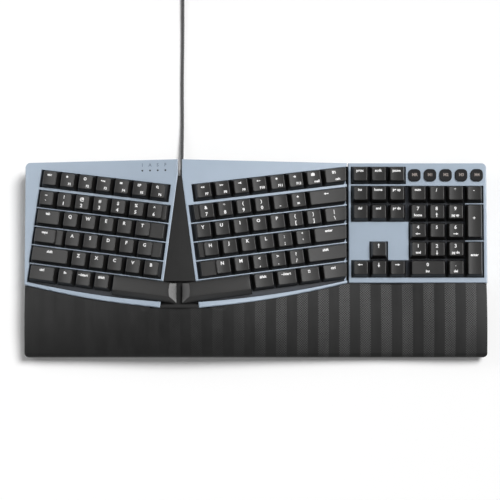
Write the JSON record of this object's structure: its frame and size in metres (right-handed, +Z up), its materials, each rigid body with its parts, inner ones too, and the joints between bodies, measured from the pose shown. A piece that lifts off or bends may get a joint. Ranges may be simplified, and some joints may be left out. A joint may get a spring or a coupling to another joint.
{
  "type": "ergonomic keyboard",
  "caption": "Wired ergonomic keyboard with a split, tented key field, flat number pad, blue-grey covers, dark caps and a fixed hatched palm rest.",
  "frame": {"origin": "on the desk, under the middle of the keyboard body", "axes": "+X to the right along the body, +Y to the rear, +Z up"},
  "size_m": [0.4718, 0.5625, 0.0588],
  "materials": {
    "key_cap": "satin",
    "macro_button": "satin",
    "cover": "matte",
    "centre_trim": "matte",
    "palm_rest": "matte",
    "case": "matte",
    "deck": "matte",
    "domes": "translucent silicone",
    "membrane": "clear film with printed tracks",
    "board": "solder mask",
    "light_guide": "smoked, clear",
    "screw": "zinc plated",
    "rubber_pad": "matte",
    "cable": "satin jacket",
    "cable_moulding": "matte",
    "cable_tie": "matte",
    "plug_metal": "nickel plated"
  },
  "bodies": {
    "chassis": {"bottom_case": "case", "cable_coil": "cable", "cable_run": "cable", "cable_strain_relief": "cable_moulding", "cable_tail": "cable", "cable_tie": "cable_tie", "case_screws": "screw", "centre_cover": "centre_trim", "controller_board": "board", "dome_sheets": "domes", "indicator_light_guide": "light_guide", "left_key_deck": "deck", "left_top_cover": "cover", "membrane_circuit": "membrane", "numpad_key_deck": "deck", "numpad_top_cover": "cover", "palm_rest": "palm_rest", "plug_body": "cable_moulding", "plug_shell": "plug_metal", "right_key_deck": "deck", "right_top_cover": "cover", "rubber_feet": "rubber_pad"},
    "escape_key": {"escape_key": "key_cap"},
    "left_function_keys": {"left_function_keys": "key_cap"},
    "left_number_keys": {"left_number_keys": "key_cap"},
    "tab_key": {"tab_key": "key_cap"},
    "left_upper_letter_keys": {"left_upper_letter_keys": "key_cap"},
    "caps_lock_key": {"caps_lock_key": "key_cap"},
    "left_home_keys": {"left_home_keys": "key_cap"},
    "left_shift_key": {"left_shift_key": "key_cap"},
    "left_lower_letter_keys": {"left_lower_letter_keys": "key_cap"},
    "left_modifier_keys": {"left_modifier_keys": "key_cap"},
    "left_space_bar": {"left_space_bar": "key_cap"},
    "right_function_keys": {"right_function_keys": "key_cap"},
    "right_number_keys": {"right_number_keys": "key_cap"},
    "backspace_key": {"backspace_key": "key_cap"},
    "right_upper_letter_keys": {"right_upper_letter_keys": "key_cap"},
    "right_home_keys": {"right_home_keys": "key_cap"},
    "enter_key": {"enter_key": "key_cap"},
    "right_lower_letter_keys": {"right_lower_letter_keys": "key_cap"},
    "right_shift_key": {"right_shift_key": "key_cap"},
    "right_space_bar": {"right_space_bar": "key_cap"},
    "right_modifier_keys": {"right_modifier_keys": "key_cap"},
    "nav_function_keys": {"nav_function_keys": "key_cap"},
    "nav_edit_keys": {"nav_edit_keys": "key_cap"},
    "arrow_keys": {"arrow_keys": "key_cap"},
    "numpad_top_keys": {"numpad_top_keys": "key_cap"},
    "numpad_digit_keys": {"numpad_digit_keys": "key_cap"},
    "numpad_plus_key": {"numpad_plus_key": "key_cap"},
    "numpad_enter_key": {"numpad_enter_key": "key_cap"},
    "numpad_zero_key": {"numpad_zero_key": "key_cap"},
    "numpad_point_key": {"numpad_point_key": "key_cap"},
    "macro_button_1": {"macro_button_1": "macro_button"},
    "macro_button_2": {"macro_button_2": "macro_button"},
    "macro_button_3": {"macro_button_3": "macro_button"},
    "macro_button_4": {"macro_button_4": "macro_button"},
    "macro_button_5": {"macro_button_5": "macro_button"},
    "left_tilt_foot": {"left_tilt_foot": "case"},
    "right_tilt_foot": {"right_tilt_foot": "case"}
  },
  "joints": [
    {"name": "escape_key_press", "type": "slide", "parent": "chassis", "child": "escape_key", "axis": [0.1912, 0.0377, -0.9808], "range_m": [0, 0.0035], "stiffness_N_per_m": 100, "springref_m": -0.005},
    {"name": "left_function_keys_press", "type": "slide", "parent": "chassis", "child": "left_function_keys", "axis": [0.1912, 0.0377, -0.9808], "range_m": [0, 0.0035], "stiffness_N_per_m": 600, "springref_m": -0.005},
    {"name": "left_number_keys_press", "type": "slide", "parent": "chassis", "child": "left_number_keys", "axis": [0.1912, 0.0377, -0.9808], "range_m": [0, 0.0035], "stiffness_N_per_m": 700, "springref_m": -0.005},
    {"name": "tab_key_press", "type": "slide", "parent": "chassis", "child": "tab_key", "axis": [0.1912, 0.0377, -0.9808], "range_m": [0, 0.0035], "stiffness_N_per_m": 100, "springref_m": -0.005},
    {"name": "left_upper_letter_keys_press", "type": "slide", "parent": "chassis", "child": "left_upper_letter_keys", "axis": [0.1912, 0.0377, -0.9808], "range_m": [0, 0.0035], "stiffness_N_per_m": 500, "springref_m": -0.005},
    {"name": "caps_lock_key_press", "type": "slide", "parent": "chassis", "child": "caps_lock_key", "axis": [0.1912, 0.0377, -0.9808], "range_m": [0, 0.0035], "stiffness_N_per_m": 100, "springref_m": -0.005},
    {"name": "left_home_keys_press", "type": "slide", "parent": "chassis", "child": "left_home_keys", "axis": [0.1912, 0.0377, -0.9808], "range_m": [0, 0.0035], "stiffness_N_per_m": 500, "springref_m": -0.005},
    {"name": "left_shift_key_press", "type": "slide", "parent": "chassis", "child": "left_shift_key", "axis": [0.1912, 0.0377, -0.9808], "range_m": [0, 0.0035], "stiffness_N_per_m": 100, "springref_m": -0.005},
    {"name": "left_lower_letter_keys_press", "type": "slide", "parent": "chassis", "child": "left_lower_letter_keys", "axis": [0.1912, 0.0377, -0.9808], "range_m": [0, 0.0035], "stiffness_N_per_m": 500, "springref_m": -0.005},
    {"name": "left_modifier_keys_press", "type": "slide", "parent": "chassis", "child": "left_modifier_keys", "axis": [0.1912, 0.0377, -0.9808], "range_m": [0, 0.0035], "stiffness_N_per_m": 400, "springref_m": -0.005},
    {"name": "left_space_bar_press", "type": "slide", "parent": "chassis", "child": "left_space_bar", "axis": [0.1912, 0.0377, -0.9808], "range_m": [0, 0.0035], "stiffness_N_per_m": 100, "springref_m": -0.005},
    {"name": "right_function_keys_press", "type": "slide", "parent": "chassis", "child": "right_function_keys", "axis": [-0.1912, 0.0377, -0.9808], "range_m": [0, 0.0035], "stiffness_N_per_m": 800, "springref_m": -0.005},
    {"name": "right_number_keys_press", "type": "slide", "parent": "chassis", "child": "right_number_keys", "axis": [-0.1912, 0.0377, -0.9808], "range_m": [0, 0.0035], "stiffness_N_per_m": 600, "springref_m": -0.005},
    {"name": "backspace_key_press", "type": "slide", "parent": "chassis", "child": "backspace_key", "axis": [-0.1912, 0.0377, -0.9808], "range_m": [0, 0.0035], "stiffness_N_per_m": 100, "springref_m": -0.005},
    {"name": "right_upper_letter_keys_press", "type": "slide", "parent": "chassis", "child": "right_upper_letter_keys", "axis": [-0.1912, 0.0377, -0.9808], "range_m": [0, 0.0035], "stiffness_N_per_m": 800, "springref_m": -0.005},
    {"name": "right_home_keys_press", "type": "slide", "parent": "chassis", "child": "right_home_keys", "axis": [-0.1912, 0.0377, -0.9808], "range_m": [0, 0.0035], "stiffness_N_per_m": 600, "springref_m": -0.005},
    {"name": "enter_key_press", "type": "slide", "parent": "chassis", "child": "enter_key", "axis": [-0.1912, 0.0377, -0.9808], "range_m": [0, 0.0035], "stiffness_N_per_m": 100, "springref_m": -0.005},
    {"name": "right_lower_letter_keys_press", "type": "slide", "parent": "chassis", "child": "right_lower_letter_keys", "axis": [-0.1912, 0.0377, -0.9808], "range_m": [0, 0.0035], "stiffness_N_per_m": 500, "springref_m": -0.005},
    {"name": "right_shift_key_press", "type": "slide", "parent": "chassis", "child": "right_shift_key", "axis": [-0.1912, 0.0377, -0.9808], "range_m": [0, 0.0035], "stiffness_N_per_m": 100, "springref_m": -0.005},
    {"name": "right_space_bar_press", "type": "slide", "parent": "chassis", "child": "right_space_bar", "axis": [-0.1912, 0.0377, -0.9808], "range_m": [0, 0.0035], "stiffness_N_per_m": 100, "springref_m": -0.005},
    {"name": "right_modifier_keys_press", "type": "slide", "parent": "chassis", "child": "right_modifier_keys", "axis": [-0.1912, 0.0377, -0.9808], "range_m": [0, 0.0035], "stiffness_N_per_m": 400, "springref_m": -0.005},
    {"name": "nav_function_keys_press", "type": "slide", "parent": "chassis", "child": "nav_function_keys", "axis": [0, 0.0384, -0.9993], "range_m": [0, 0.0035], "stiffness_N_per_m": 300, "springref_m": -0.005},
    {"name": "nav_edit_keys_press", "type": "slide", "parent": "chassis", "child": "nav_edit_keys", "axis": [0, 0.0384, -0.9993], "range_m": [0, 0.0035], "stiffness_N_per_m": 600, "springref_m": -0.005},
    {"name": "arrow_keys_press", "type": "slide", "parent": "chassis", "child": "arrow_keys", "axis": [0, 0.0384, -0.9993], "range_m": [0, 0.0035], "stiffness_N_per_m": 400, "springref_m": -0.005},
    {"name": "numpad_top_keys_press", "type": "slide", "parent": "chassis", "child": "numpad_top_keys", "axis": [0, 0.0384, -0.9993], "range_m": [0, 0.0035], "stiffness_N_per_m": 400, "springref_m": -0.005},
    {"name": "numpad_digit_keys_press", "type": "slide", "parent": "chassis", "child": "numpad_digit_keys", "axis": [0, 0.0384, -0.9993], "range_m": [0, 0.0035], "stiffness_N_per_m": 900, "springref_m": -0.005},
    {"name": "numpad_plus_key_press", "type": "slide", "parent": "chassis", "child": "numpad_plus_key", "axis": [0, 0.0384, -0.9993], "range_m": [0, 0.0035], "stiffness_N_per_m": 100, "springref_m": -0.005},
    {"name": "numpad_enter_key_press", "type": "slide", "parent": "chassis", "child": "numpad_enter_key", "axis": [0, 0.0384, -0.9993], "range_m": [0, 0.0035], "stiffness_N_per_m": 100, "springref_m": -0.005},
    {"name": "numpad_zero_key_press", "type": "slide", "parent": "chassis", "child": "numpad_zero_key", "axis": [0, 0.0384, -0.9993], "range_m": [0, 0.0035], "stiffness_N_per_m": 100, "springref_m": -0.005},
    {"name": "numpad_point_key_press", "type": "slide", "parent": "chassis", "child": "numpad_point_key", "axis": [0, 0.0384, -0.9993], "range_m": [0, 0.0035], "stiffness_N_per_m": 100, "springref_m": -0.005},
    {"name": "macro_button_1_press", "type": "slide", "parent": "chassis", "child": "macro_button_1", "axis": [0, 0.0384, -0.9993], "range_m": [0, 0.001], "stiffness_N_per_m": 300, "springref_m": -0.002},
    {"name": "macro_button_2_press", "type": "slide", "parent": "chassis", "child": "macro_button_2", "axis": [0, 0.0384, -0.9993], "range_m": [0, 0.001], "stiffness_N_per_m": 300, "springref_m": -0.002},
    {"name": "macro_button_3_press", "type": "slide", "parent": "chassis", "child": "macro_button_3", "axis": [0, 0.0384, -0.9993], "range_m": [0, 0.001], "stiffness_N_per_m": 300, "springref_m": -0.002},
    {"name": "macro_button_4_press", "type": "slide", "parent": "chassis", "child": "macro_button_4", "axis": [0, 0.0384, -0.9993], "range_m": [0, 0.001], "stiffness_N_per_m": 300, "springref_m": -0.002},
    {"name": "macro_button_5_press", "type": "slide", "parent": "chassis", "child": "macro_button_5", "axis": [0, 0.0384, -0.9993], "range_m": [0, 0.001], "stiffness_N_per_m": 300, "springref_m": -0.002},
    {"name": "left_tilt_foot_hinge", "type": "hinge", "parent": "chassis", "child": "left_tilt_foot", "pos_m": [-0.172, 0.088, 0.0042], "axis": [1, 0, 0], "range_deg": [0, 80]},
    {"name": "right_tilt_foot_hinge", "type": "hinge", "parent": "chassis", "child": "right_tilt_foot", "pos_m": [0.172, 0.088, 0.0042], "axis": [1, 0, 0], "range_deg": [0, 80]}
  ]
}
